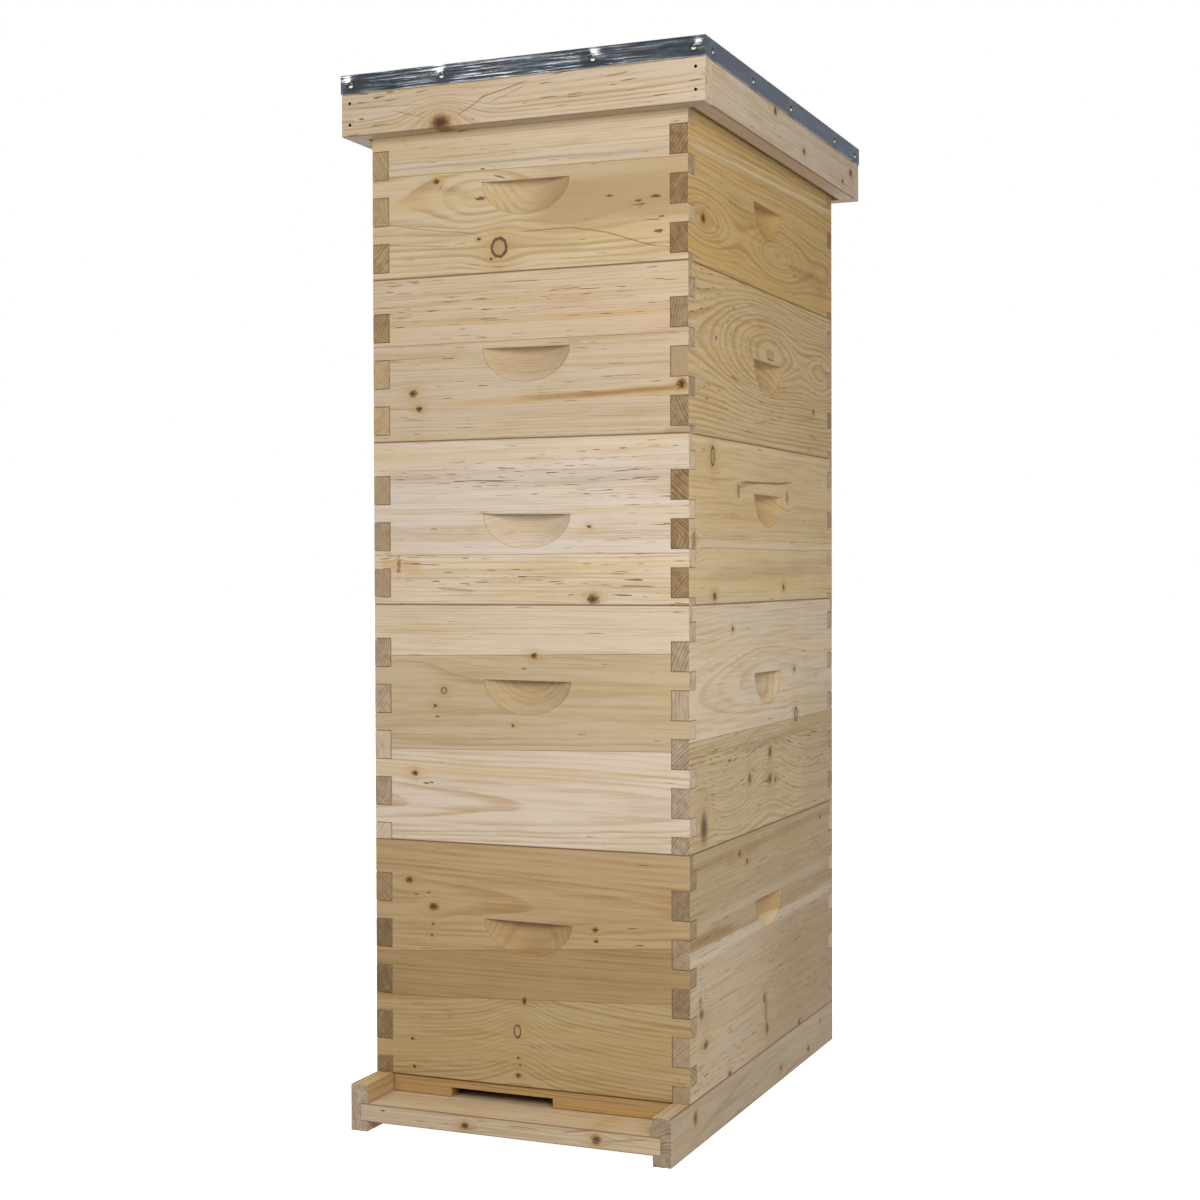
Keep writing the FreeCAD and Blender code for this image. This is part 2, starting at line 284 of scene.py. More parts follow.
def picked(steps, values):
    """The value of the stave that a point lies in."""
    result = values[0]
    for step, before, after in zip(steps, values, values[1:]):
        if after != before:
            result = step * (after - before) + result
    return result


def picked_colour(graph, steps, colours):
    """The colour of the stave that a point lies in."""
    result = colours[0]
    for step, colour in zip(steps, colours[1:]):
        result = graph.mix(result, colour, step)
    return result


def inside(steps, index):
    """One within the stave of this index, and nought elsewhere."""
    low = steps[index - 1] if index else 1.0
    high = steps[index] if index < len(steps) else 0.0
    return low - high


def around(point_u, point_v, u, v, length, height):
    """Squared distance from a point, measured in its own half length and half height."""
    return ((u - point_u) / length) ** 2.0 + ((v - point_v) / height) ** 2.0


def nearness(u, v, spot, length, height):
    """One at a knot or a loop, and fading to nought away from it."""
    return (around(spot.u, spot.v, u, v, length, height) * -1.0).exp()


class Wood:
    """Plain-sawn softwood board made of glued staves, with its own list of features."""

    def __init__(self, name, place, height, board):
        self.graph = Graph(name)
        self.place = place
        self.height = height
        self.board = board
        self.seed = random.Random(name).uniform(0, 500)
        self.u, self.v, self.w = place(self.graph)

        # Height above each seam between staves, a step that is one above it, and the stave's noise
        self.edges = [self.v - stave.slope * self.u - stave.low for stave in board.staves[1:]]
        self.steps = [edge.above(0.0) for edge in self.edges]
        shifts = [self.seed + STAVE_SHIFT * index for index in range(len(board.staves))]
        self.own = picked(self.steps, shifts)

        # Fibres, and the rings about the pith line
        self.flow = self.parted_fibres()
        self.waver = self.noise(70, 16, 16, detail=1.0)
        self.across = self.flow - self.of_stave("pith")
        behind = self.w + self.of_stave("depth") + self.u * self.of_stave("tilt")
        self.reach = (self.across * self.across + behind * behind).sqrt()
        self.rings = self.ring_distance()
        self.late = self.latewood()
        self.fibre = self.noise(110, 4.2, 4.2, detail=5.0, roughness=0.72)

    def of_stave(self, field):
        return picked(self.steps, [getattr(stave, field) for stave in self.board.staves])

    def colour_of(self, factors):
        colours = [tinted(stave.colour, factors) for stave in self.board.staves]
        return picked_colour(self.graph, self.steps, colours)

    def noise(self, along, across, through, shift=0.0, **settings):
        """Cloudy noise that follows the fibres; the lengths of its clouds are in millimetres."""
        depth = self.w / through + (self.own + shift)
        return self.graph.noise(self.u / along, self.flow / across, depth, **settings)

    def parted_fibres(self):
        """Height across the board, with the fibres parted around each knot."""
        flow = self.v
        for knot in self.board.knots:
            length = 3.2 * KNOT_STRETCH[knot.kind] * knot.radius
            near = nearness(self.u, self.v, knot, length, 2.4 * knot.radius)
            flow = flow - (self.v - knot.v) * near
        return flow

    def ring_distance(self):
        """Distance from the pith in millimetres, as the growth rings count it."""
        slow = self.noise(300, 80, 80, detail=1.0)
        rings = self.reach + self.w * 0.5 + slow * SLOW_WANDER + self.waver * QUICK_WANDER
        for loop in self.board.loops:
            near = nearness(self.u, self.v, loop, loop.length, loop.height)
            rings = rings + near * inside(self.steps, loop.stave) * loop.lift
        return rings

    def latewood(self):
        """The dark end of each ring, stronger in some years than in others."""
        count = self.rings / self.of_stave("spacing")
        count = count + self.graph.noise(count / 4 + self.own, detail=1.0) * RING_UNEVENNESS
        part = count.fract()
        year = self.graph.chance(count.floor() + self.own)
        return part.rise(0.3, 0.93) * part.rise(1.0, 0.94) * (year * 0.65 + 0.35)

    def clear_wood(self):
        """Colour of the wood's rings and fibres, before any mark."""
        graph, own = self.graph, self.own
        steep = (abs(self.across) / self.reach * 2.2 + 0.55).clamp()
        band = graph.noise(self.u / 420, self.rings / 8, own, detail=3.0)
        blotch = graph.noise(self.u / 90, self.v / 38, self.w / 30 + own, detail=2.0)
        tone = self.late * steep * self.of_stave("contrast") * RING_TONE + self.fibre * FIBRE_TONE
        tone = tone + band * BAND_TONE + blotch * BLOTCH_TONE + BASE_TONE
        if self.place.of_box:
            tone = tone + self.late * self.w.rise(0.6, 2.5) * SCOOP_TONE
        colour = graph.mix(self.colour_of((1, 1, 1)), self.colour_of(LATEWOOD), tone.clamp())
        hue = self.noise(500, 22, 30, shift=7.0, detail=2.0)
        colour = graph.mix(colour, self.colour_of(WARM), hue.rise(0.02, 0.25) * 0.75)
        return graph.mix(colour, self.colour_of(COOL), hue.rise(-0.02, -0.25) * 0.6)

    def flecks(self):
        """Short dark resin dashes along the fibres, in rows that follow the rings."""
        graph, own = self.graph, self.own
        dash = graph.noise(self.u / 19, self.rings / 0.85, self.flow / 9 + own, detail=0.0)
        row = graph.noise(self.u / 95, self.rings / 2.4, own + 3.0, detail=1.0)
        limit = 0.42 - row * 0.85 - self.of_stave("flecks") * 0.14
        for dashes in self.board.dashes:
            off = (self.v - dashes.v) / dashes.height
            limit = limit - (off ** 2.0 * -1.0).exp() * dashes.amount
        return (dash - limit).rise(0.0, 0.035)

    def add_marks(self, colour, fleck):
        """Streaks, flecks and knots, then the glued seams and painted shade along the board's top
        and bottom edges.
        """
        graph = self.graph
        for streak in self.board.streaks:
            colour = add_streak(graph, colour, streak, self.u, self.v + self.waver * 4.0)
        colour = graph.mix(colour, FLECK, fleck * 0.8)
        ragged = graph.noise(self.u / 3.2, self.v / 2.2, self.own, detail=2.0)
        for knot in self.board.knots:
            colour = add_knot(graph, colour, knot, self.u, self.v, ragged)
        for edge in self.edges:
            colour = graph.mix(colour, UMBER, abs(edge).rise(0.55, 0.15) * 0.6)
        # Painted shade: the last millimetre along the top and bottom edges is darkened, where the
        # boxes meet
        lower_edge = self.v.rise(1.5, 0.5)
        upper_edge = self.v.rise(self.height - 1.5, self.height - 0.5)
        painted_edge_shade = (lower_edge + upper_edge) * self.w.rise(3.0, 1.0)
        return graph.mix(colour, UMBER, painted_edge_shade * 0.7)

    def add_scoop(self, colour):
        """The hand scoop's deeper colour, and painted shade in a dark line round its rim."""
        # Painted shade: a thin dark line where the face turns into the scoop
        painted_rim_shade = self.w.rise(0.05, 0.3) * self.w.rise(1.1, 0.5)
        deep = self.w.rise(0.2, 0.6)
        colour = self.graph.mix(colour, self.colour_of(self.board.scooped), deep * 0.4)
        return self.graph.mix(colour, UMBER, painted_rim_shade * 0.35)

    def finger_marks(self):
        """A shade of its own for each corner finger, and the dark line round its end."""
        count = (self.height - TOP_FINGER - self.v) / FINGER_PITCH
        middle = SIDE_FINGER / 2
        seam = abs(abs(count.fract() * FINGER_PITCH - middle) - middle).rise(0.9, 0.2)
        inner = self.w.rise(BOARD_THICKNESS - 1.2, BOARD_THICKNESS - 0.4)
        return self.graph.chance(count.floor() + self.seed), (seam + inner).clamp()

    def add_end_grain(self, colour, pores, ends, base):
        """The same rings cut across, darker, with open pores for fibres."""
        graph = self.graph
        smudge = graph.noise(self.flow / 7, self.w / 7, self.own + 9.0, detail=2.0)
        tone = self.late * 0.8 + pores * 0.9 + smudge * 1.3 + 0.2
        if self.place.of_box:
            shade, outline = self.finger_marks()
            tone = tone + shade * 0.9 - 0.46
        light = tinted(base, (1.18, 1.18, 1.18))
        end_grain = graph.mix(light, tinted(base, END_LATEWOOD), tone.clamp())
        colour = graph.mix(colour, end_grain, ends)
        if self.place.of_box:
            colour = graph.mix(colour, UMBER, outline * ends * 0.65)
        return colour


def wood(name, place, height, board, end_colour=None):
    """Material of one board; its end grain takes the colour given, or one from its lowest stave."""
    timber = Wood(name, place, height, board)
    graph, fibre = timber.graph, timber.fibre
    fleck = timber.flecks()
    colour = timber.add_marks(timber.clear_wood(), fleck)
    if place.of_box:
        colour = timber.add_scoop(colour)
    ends = abs(graph.normal()[place.grain]).rise(0.55, 0.85)
    pores = graph.noise(timber.flow / 0.9, timber.w / 0.9, timber.own, detail=2.0)
    base = end_colour or tinted(board.staves[0].colour, END_GRAIN)
    colour = timber.add_end_grain(colour, pores, ends, base)
    relief = fibre * 0.22 - timber.late * 0.04 - fleck * 0.08 + pores * ends * 0.15
    roughness = fibre * 0.2 + 0.6
    return graph.finish(colour, roughness, relief, Specular_IOR_Level=0.28)


def add_streak(graph, colour, streak, u, v):
    """A band of stain along a line, fading towards its ends and edges."""
    along = (u - streak.u0) / (streak.u1 - streak.u0)
    line = along * (streak.v1 - streak.v0) + streak.v0
    off = abs(v - line) / streak.width
    ends = along.rise(-STREAK_FADE, STREAK_FADE) * along.rise(1 + STREAK_FADE, 1 - STREAK_FADE)
    return graph.mix(colour, streak.colour, off.rise(1.0, 0.2) * ends * streak.strength)


def add_knot(graph, colour, knot, u, v, ragged):
    """A branch cut across, in stained wood: a pale heart in a dark rim, or a dark core in bark."""
    length = KNOT_STRETCH[knot.kind] * knot.radius
    away = around(knot.u, knot.v, u, v, length, knot.tall * knot.radius).sqrt()
    if knot.kind == PIN:
        return graph.mix(colour, KNOT_CORE, (away + ragged * 1.2).rise(1.1, 0.4) * 0.8)
    if knot.kind == SMEAR:
        return graph.mix(colour, KNOT_BARK, (away + ragged * 2.4).rise(1.3, 0.2) * 0.7)
    stained = away + ragged * 1.5
    stain = (stained * stained * -0.16).exp()
    colour = graph.mix(colour, KNOT_STAIN, stain * 0.6)
    if knot.kind == RING:
        away = away + ragged * 0.4
        colour = graph.mix(colour, KNOT_HEART, away.rise(1.0, 0.85))
        rim = away.rise(0.66, 0.88) * away.rise(1.2, 1.0)
        return graph.mix(colour, KNOT_RIM, rim * 0.85)
    wander = min(1.0, 3.5 / knot.radius)
    colour = graph.mix(colour, KNOT_BARK, (away + ragged * 1.6 * wander).rise(1.45, 0.7) * 0.8)
    return graph.mix(colour, KNOT_CORE, (away + ragged * 2.2 * wander).rise(0.85, 0.3) * 0.85)


class Place:
    """Where a board's u, v and w run: an axis, a start in millimetres and a direction for each.

    A board of a box also gets the marks of its hand scoop and of its corner fingers.
    """

    def __init__(self, axes, starts, signs, of_box=False):
        self.grain = axes[0]
        self.of_box = of_box
        self.lines = list(zip(axes, starts, signs))

    def __call__(self, graph):
        coordinates = graph.coordinates()
        return [(coordinates[axis] - start) * sign for axis, start, sign in self.lines]


def box_mm(node):
    """Lowest and highest corners of a node at rest, in millimetres."""
    low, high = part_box(node)
    return low * MM, high * MM


def size_mm(node):
    """A node's size along x, y and z, in millimetres."""
    low, high = box_mm(node)
    return [end - start for start, end in zip(low, high)]


def board_place(node, side):
    """Place of an upright board whose outer face looks to the side given."""
    low, high = box_mm(node)
    of_box = node.startswith(BOXES)
    if side in ("front", "back"):
        outer = low.y if side == "front" else high.y
        return Place((0, 2, 1), (0.0, low.z, outer), (1, 1, 1 if side == "front" else -1), of_box)
    outer = low.x if side == "left" else high.x
    return Place((1, 2, 0), (low.y, low.z, outer), (1, 1, 1 if side == "left" else -1), of_box)


def flat_place(node, grain):
    """Place of a level board seen from above."""
    low, high = box_mm(node)
    across = 1 - grain
    return Place((grain, across, 2), (low[grain], low[across], high.z), (1, 1, -1))


def paint(node, material):
    """Put one material in every slot of a node."""
    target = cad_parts[node]
    if not target.material_slots:
        target.data.materials.append(material)
    for slot in target.material_slots:
        slot.material = material


# Plain wood colours
CREAM = srgb(208, 190, 164)
SAND = srgb(198, 177, 147)
HONEY = srgb(190, 163, 123)
TAN = srgb(174, 148, 110)
BROWN = srgb(160, 130, 86)

# Boards that face the camera. Fronts: u from the box's middle. Sides: u from the box's front.
FRONTS = {
    "super_3": Board(
        staves=(
            Stave(0, srgb(199, 180, 148), 79, 60, 0.0, 5.0, contrast=1.3, flecks=0.3),
            Stave(103.5, srgb(201, 183, 157), 250, 30, 0.0, 3.0, -0.014, contrast=0.6),
        ),
        knots=(
            Knot(-29, 25, 8.2, RING, 1.2), Knot(-100, 97, 2.6, DARK), Knot(-50, 76, 2.4, PIN),
            Knot(-47, 106, 1.2, PIN), Knot(92, 68, 1.5, PIN), Knot(123, 61, 1.5, PIN),
            Knot(141, 64, 2.2, PIN), Knot(147, 44, 1.2, PIN), Knot(144, 30, 2.2, PIN),
            Knot(-52, 35, 1.6, DARK), Knot(-38, 14, 1.4, DARK),
        ),
        loops=(Loop(-52, 76, 46, 30, -12), Loop(60, 40, 60, 22, -6)),
        streaks=(
            Streak(-172, 113, 172, 110, 2.0, GREY_BLUE, 0.6),
            Streak(10, 66, 190, 70, 44.0, DUSK, 0.85),
            Streak(-120, 96, -60, 80, 7.0, GREY_BROWN, 0.2),
            Streak(-20, 30, 60, 22, 9.0, DUSK, 0.35),
            Streak(-5, 39, 53, 39, 0.9, UMBER, 0.6), Streak(53, 39, 90, 32, 1.0, UMBER, 0.65),
            Streak(90, 32, 115, 23, 1.0, UMBER, 0.7), Streak(115, 23, 142, 15, 1.0, UMBER, 0.65),
            Streak(142, 15, 174, 12, 0.9, UMBER, 0.6), Streak(-175, 61, -117, 49, 0.9, UMBER, 0.5),
            Streak(-117, 49, -55, 41, 0.9, UMBER, 0.5), Streak(-175, 37, -90, 30, 0.9, UMBER, 0.45),
        ),
    ),
    "super_2": Board(
        staves=(
            Stave(0, srgb(195, 176, 151), -60, 40, 0.02, 3.0, contrast=0.7, flecks=0.5),
            Stave(99, srgb(199, 179, 153), 230, 40, 0.0, 2.8, contrast=0.7, flecks=0.85),
        ),
        knots=(
            Knot(-128, 49, 3.4, DARK), Knot(-121, 33, 2.8, DARK), Knot(167, 48, 3.8, DARK, 1.3),
        ),
        streaks=(
            Streak(-176, 119, 176, 120, 4.5, GOLD, 0.45),
            Streak(-176, 109, 176, 108, 8.0, PINK, 0.45),
            Streak(-90, 36, 172, 44, 6.0, GOLD, 0.45), Streak(0, 40, 184, 45, 4.5, OLIVE, 0.55),
            Streak(60, 42, 184, 45, 2.2, OLIVE, 0.6),
            Streak(150, 0, 182, 6, 9.0, GREY_BROWN, 0.45),
        ),
    ),
    "super_1": Board(
        staves=(
            Stave(0, srgb(212, 195, 171), -30, 60, 0.0, 3.0, contrast=0.8, flecks=0.95),
            Stave(51, srgb(210, 196, 180), 300, 30, 0.0, 2.6, contrast=0.7, flecks=0.45),
        ),
        knots=(Knot(73, 6, 4.6, DARK), Knot(-146, 40, 2.8, SMEAR, 3.6), Knot(69, 78, 1.4, DARK)),
        streaks=(
            Streak(-176, 128, 176, 129, 14.0, GREY_BROWN, 0.14),
            Streak(-176, 34, 60, 36, 3.0, GOLD, 0.4),
            Streak(-60, 14, 176, 12, 2.5, GOLD, 0.4),
            Streak(-166, 41, -120, 39, 9.0, GOLD, 0.5),
            Streak(104, 19, 136, 18, 1.3, UMBER, 0.7),
            Streak(-100, 17, -60, 14, 2.0, GREY_BROWN, 0.5),
        ),
        dashes=(Dashes(128, 11, 0.15), Dashes(80, 6, 0.07)),
    ),
    "deep_2": Board(
        staves=(
            Stave(0, srgb(211, 194, 174), 42, 32.6, 0.031, 4.6, contrast=1.1, flecks=0.0),
            Stave(97.5, srgb(190, 170, 138), 150, 55, 0.018, 4.4, 0.02, contrast=0.6, flecks=0.0),
            Stave(194, srgb(211, 194, 169), 420, 30, 0.0, 2.4, 0.017, contrast=0.9, flecks=0.1),
        ),
        knots=(
            Knot(8, 193, 2.8, DARK), Knot(-94, 156, 3.2, RING), Knot(-104, 140, 1.6, DARK),
            Knot(-102, 129, 1.2, PIN), Knot(-128, 70, 2.6, DARK), Knot(-115, 60, 1.2, PIN),
            Knot(-108, 61, 1.0, PIN), Knot(-3, 180, 1.0, PIN), Knot(-16, 122, 1.2, DARK),
        ),
        loops=(Loop(-139, 183, 50, 12, -7, 1),),
    ),
    "deep_1": Board(
        staves=(
            Stave(0, srgb(178, 155, 114), -220, 40, 0.0, 4.8, contrast=1.3, flecks=0.1),
            Stave(89, srgb(164, 137, 95), 300, 40, 0.0, 4.0, 0.05, contrast=0.6, flecks=0.1),
            Stave(140, srgb(180, 154, 114), 186, 35.9, 0.035, 5.0, 0.077, contrast=0.9, flecks=0.1),
        ),
        knots=(
            Knot(-12, 56, 3.8, RING, 1.7), Knot(-4, 88, 1.8, DARK, 2.2), Knot(-11, 11, 2.4, DARK),
            Knot(-130, 9, 1.8, DARK), Knot(-135, 203, 3.0, DARK), Knot(-107, 177, 4.0, DARK),
            Knot(74, 165, 2.6, DARK), Knot(75, 154, 1.8, DARK), Knot(-112, 191, 1.0, PIN),
            Knot(-127, 189, 1.0, PIN), Knot(-108, 159, 1.2, DARK), Knot(-109, 147, 1.2, DARK),
            Knot(-11, 29, 1.2, DARK), Knot(-9, 22, 1.0, DARK), Knot(-132, 38, 1.6, DARK),
        ),
        loops=(Loop(-10, 60, 30, 90, -14), Loop(-10, 60, 100, 120, -14)),
    ),
}

RIGHTS = {
    "super_3": Board(
        staves=(Stave(0, srgb(200, 170, 113), 46, 60, 0.0, 5.0, contrast=1.4, flecks=0.15),),
        knots=(Knot(43, 47, 5.0, DARK),),
        loops=(Loop(43, 47, 80, 28, -28), Loop(289, 46, 100, 30, -30), Loop(470, 50, 50, 24, -9)),
        streaks=(
            Streak(-10, 112, 520, 129, 5.0, PALE, 0.3), Streak(-10, 114, 520, 131, 1.3, PALE, 0.6),
            Streak(-10, 121, 520, 139, 1.5, PALE, 0.45),
            Streak(150, 150, 500, 160, 10.0, UMBER, 0.12),
            Streak(120, 78, 250, 66, 14.0, UMBER, 0.16), Streak(330, 40, 480, 30, 12.0, UMBER, 0.2),
        ),
    ),
    "super_2": Board(
        staves=(Stave(0, srgb(204, 179, 136), 100, 90, 0.0, 4.3, contrast=2.1, flecks=0.75),),
        knots=(Knot(427, 51, 2.6, DARK),),
        loops=(Loop(254, 102, 150, 52, -44), Loop(470, 99, 80, 44, -30)),
    ),
    "super_1": Board(
        staves=(
            Stave(0, srgb(214, 189, 145), -90, 70, 0.0, 4.0, contrast=0.5, flecks=0.1),
            Stave(66, srgb(212, 186, 140), 260, 60, 0.03, 4.4, contrast=0.5, flecks=0.1),
        ),
        knots=(
            Knot(70, 149, 5.5, RING, 1.7), Knot(75, 8, 4.0, DARK), Knot(308, 15, 3.0, DARK),
            Knot(14, 62, 7.0, SMEAR, 2.0), Knot(150, 117, 4.5, SMEAR, 1.9),
            Knot(322, 116, 6.0, SMEAR, 1.6),
        ),
        streaks=(
            Streak(-10, 163, 520, 162, 4.0, PALE, 0.35), Streak(-10, 60, 520, 60, 6.0, PALE, 0.3),
            Streak(20, 66, 520, 66, 1.4, PALE, 0.5), Streak(20, 56, 520, 57, 0.9, UMBER, 0.35),
            Streak(160, 126, 330, 132, 1.8, KNOT_BARK, 0.8),
            Streak(150, 122, 215, 128, 3.0, UMBER, 0.4), Streak(100, 92, 500, 88, 9.0, GOLD, 0.3),
            Streak(60, 30, 420, 36, 12.0, GREY_BROWN, 0.22),
        ),
    ),
    "deep_2": Board(
        staves=(
            Stave(0, srgb(199, 177, 137), -60, 50, 0.0, 4.2, contrast=1.1, flecks=0.7),
            Stave(110, srgb(219, 200, 170), 150, 50, -0.03, 4.8, contrast=0.7, flecks=0.0),
        ),
        knots=(
            Knot(354, 114, 6.0, RING, 1.3), Knot(257, 79, 4.2, DARK, 1.5),
            Knot(257, 50, 3.8, DARK, 1.4), Knot(186, 57, 3.8, DARK, 1.5),
            Knot(41, 22, 7.0, DARK, 2.1), Knot(348, 166, 2.4, DARK), Knot(276, 47, 2.4, DARK),
            Knot(120, 82, 2.0, PIN), Knot(131, 218, 2.4, DARK),
        ),
        loops=(
            Loop(257, 62, 80, 60, -24), Loop(41, 22, 60, 50, -12), Loop(235, 185, 150, 40, -14, 1),
        ),
        streaks=(
            # The second, wide streak is painted shade: it darkens the board's far end, where the
            # light falls off
            Streak(150, 90, 380, 96, 7.0, UMBER, 0.3), Streak(380, 70, 640, 76, 110.0, DUSK, 0.4),
        ),
        dashes=(Dashes(90, 10, 0.13), Dashes(60, 14, 0.1)),
    ),
    "deep_1": Board(
        staves=(
            Stave(0, srgb(199, 178, 145), -160, 60, 0.01, 3.2, contrast=0.6, flecks=0.9),
            Stave(149, srgb(182, 159, 120), 360, 40, 0.02, 3.0, -0.01, contrast=1.0, flecks=0.6),
        ),
        knots=(
            Knot(152, 226, 4.0, DARK), Knot(177, 215, 3.0, DARK), Knot(33, 82, 4.5, DARK),
            Knot(45, 49, 4.0, DARK), Knot(236, 57, 3.5, DARK, 1.6), Knot(245, 22, 3.5, DARK, 2.0),
            Knot(241, 42, 5.0, SMEAR, 4.0), Knot(30, 92, 4.0, SMEAR, 3.0),
            Knot(119, 2, 4.0, DARK), Knot(365, 3, 4.0, DARK), Knot(451, 230, 3.0, DARK),
        ),
        streaks=(
            # This wide streak is painted shade: it darkens the far half of the board, where the
            # light falls off
            Streak(230, 60, 1300, 80, 160.0, OLIVE, 0.62),
            Streak(-20, 138, 520, 141, 10.0, PALE, 0.4),
            Streak(-20, 157, 130, 153, 7.5, OLIVE, 0.95),
            Streak(-20, 170, 520, 174, 9.0, PALE, 0.2),
            Streak(-20, 228, 520, 234, 7.0, OLIVE, 0.5),
            Streak(110, 225, 210, 228, 9.0, OLIVE, 0.4),
        ),
        scooped=(1.5, 1.36, 1.16),
    ),
}


# Other boards that face the camera: cover rim, right rail, landing board and entrance strip
KNOWN = {
    "cover_rim_front": Board(
        staves=(Stave(0, srgb(196, 178, 155), 60, 50, 0.012, 3.6, contrast=1.2, flecks=0.75),),
        knots=(Knot(-85, 5, 8.0, DARK), Knot(-176, 17, 1.2, PIN)),
        loops=(Loop(-85, 4, 34, 26, 12),),
        streaks=(
            Streak(-66, 10, -34, 28, 1.0, UMBER, 0.7), Streak(-40, 26, 10, 37, 1.0, UMBER, 0.7),
            Streak(-30, 20, 8, 33, 0.8, UMBER, 0.5), Streak(-140, 22, -104, 12, 0.8, UMBER, 0.5),
            Streak(96, 34, 120, 36, 1.1, UMBER, 0.6), Streak(-176, 28, -110, 26, 0.9, UMBER, 0.4),
        ),
    ),
    "cover_rim_right": Board(
        staves=(Stave(0, srgb(205, 187, 164), 60, 50, 0.0, 3.6, contrast=0.8, flecks=0.1),),
        knots=(
            Knot(203, 38, 3.6, DARK), Knot(309, 16, 3.2, DARK), Knot(468, 12, 2.4, DARK),
            Knot(504, 28, 4.2, DARK),
        ),
    ),
    "bottom_rail_right": Board(
        staves=(Stave(0, srgb(184, 164, 134), 9, -9, 0.0, 3.4, contrast=0.5, flecks=0.2),),
        knots=(
            Knot(68, 31, 4.2, DARK, 1.6), Knot(349, 14, 3.2, DARK), Knot(455, 12, 3.2, DARK),
            Knot(505, 34, 1.8, DARK),
        ),
        streaks=(
            Streak(60, 8, 250, 40, 5.0, GREY_BROWN, 0.25),
            Streak(180, 0, 330, 26, 4.0, GREY_BROWN, 0.2),
        ),
    ),
    "floor_board_front": Board(
        staves=(Stave(0, srgb(198, 178, 149), -60, 40, 0.0, 3.6, contrast=0.8, flecks=0.2),),
        knots=(Knot(-45, 8, 3.0, DARK), Knot(97, 9, 3.8, DARK, 1.1), Knot(-138, 13, 1.2, PIN)),
        streaks=(
            Streak(62, 13, 92, 17, 1.2, UMBER, 0.5), Streak(104, 7, 150, 15, 1.6, GREY_BROWN, 0.5),
            Streak(-60, 3, 60, 5, 2.5, GREY_BROWN, 0.25),
        ),
    ),
    "entrance_reducer": Board(
        staves=(Stave(0, srgb(176, 144, 96), 60, 40, 0.0, 3.2, contrast=0.8, flecks=0.1),),
        streaks=(Streak(-60, 15, 120, 12, 1.0, UMBER, 0.5), Streak(40, 6, 160, 5, 2.0, GOLD, 0.5)),
    ),
}


# Boards that the camera doesn't see: the widest single stave, and the face that has one knot
WIDEST_STAVE = 60.0
AREA_PER_KNOT = 20000.0


def chance_board(name, length, height, colours=(SAND, HONEY, CREAM), centred=False):
    """Board with staves, rings and a few knots drawn from its own fixed seed."""
    chance = random.Random(name)
    start = -length / 2 if centred else 0.0
    cuts = [0.0] if height < WIDEST_STAVE else [0.0, height * chance.uniform(0.35, 0.6)]
    staves = []
    for cut in cuts:
        staves.append(
            Stave(
                low=cut,
                colour=chance.choice(colours),
                pith=cut + chance.uniform(-0.3, 0.9) * height,
                depth=chance.uniform(34, 60),
                tilt=chance.uniform(-0.03, 0.03),
                spacing=chance.uniform(3.0, 4.6),
                flecks=chance.uniform(0.1, 0.8),
            )
        )
    knots = []
    for _ in range(max(1, round(length * height / AREA_PER_KNOT))):
        place = (start + chance.uniform(0.05, 0.95) * length, chance.uniform(0.1, 0.9) * height)
        kind, radius = chance.choice(((RING, 6.5), (DARK, 3.5), (DARK, 2.5), (PIN, 1.8)))
        knots.append(Knot(*place, min(radius, height / 5), kind))
    middle = (start + chance.uniform(0.2, 0.8) * length, chance.uniform(0.2, 0.8) * height)
    loops = (Loop(*middle, length * 0.25, height * 0.3, chance.uniform(6, 16)),)
    return Board(tuple(staves), tuple(knots), loops)


# Colour of the end grain that shows at each corner of the boxes' fronts
END_COLOURS = {
    "right": {
        "super_3": srgb(150, 126, 90),
        "super_2": srgb(153, 131, 101),
        "super_1": srgb(149, 125, 90),
        "deep_2": srgb(168, 148, 126),
        "deep_1": srgb(156, 134, 107),
    },
    "left": {
        "super_3": srgb(160, 138, 102),
        "super_2": srgb(172, 148, 110),
        "super_1": srgb(155, 132, 103),
        "deep_2": srgb(188, 167, 142),
        "deep_1": srgb(143, 119, 86),
    },
}
RAIL_ENDS = {"left": srgb(177, 159, 135), "right": srgb(154, 137, 113)}


def paint_boxes():
    """All four boards of each box."""
    for box in BOXES:
        for side, known in (("front", FRONTS), ("right", RIGHTS), ("back", {}), ("left", {})):
            node = f"{box}_{side}_board"
            width, depth, height = size_mm(node)
            across = side in ("front", "back")
            length = width if across else depth
            board = known.get(box) or chance_board(node, length, height, centred=across)
            end_colour = END_COLOURS.get(side, {}).get(box)
            paint(node, wood(node, board_place(node, side), height, board, end_colour))


def paint_upright(node, side, colours, end_colour=None):
    """A board on edge outside the boxes, by its own list of features or by its own seed."""
    width, depth, height = size_mm(node)
    board = KNOWN.get(node) or chance_board(node, max(width, depth), height, colours)
    paint(node, wood(node, board_place(node, side), height, board, end_colour))


def paint_flat(node, grain):
    """A level board with its grain along x, which is 0, or along y, which is 1."""
    size = size_mm(node)
    length, across = size[grain], size[1 - grain]
    board = chance_board(node, length, across, (SAND, HONEY))
    paint(node, wood(node, flat_place(node, grain), across, board))


def paint_base():
    """Rails, floor boards, the loose entrance strip and the rear cleat."""
    for side in ("left", "right"):
        paint_upright("bottom_rail_" + side, side, (SAND, HONEY), RAIL_ENDS[side])
    paint_upright("floor_board_front", "front", (SAND, HONEY))
    paint_flat("floor_board_middle", 0)
    paint_flat("floor_board_rear", 0)
    paint_upright("entrance_reducer", "front", (TAN, BROWN))
    paint_upright("bottom_rear_cleat", "back", (TAN, BROWN))


def paint_covers():
    """Wooden parts of the inner and the outer cover."""
    for side in ("front", "back", "left", "right"):
        for node in ("cover_rim_" + side, "inner_cover_rim_" + side):
            paint_upright(node, side, (SAND, CREAM), CREAM)
    paint_flat("cover_deck", 1)
    paint_flat("inner_cover_panel", 1)


# Height of the frames' pattern, which runs across the hive from its middle
FRAME_WOOD_HEIGHT = 1000.0


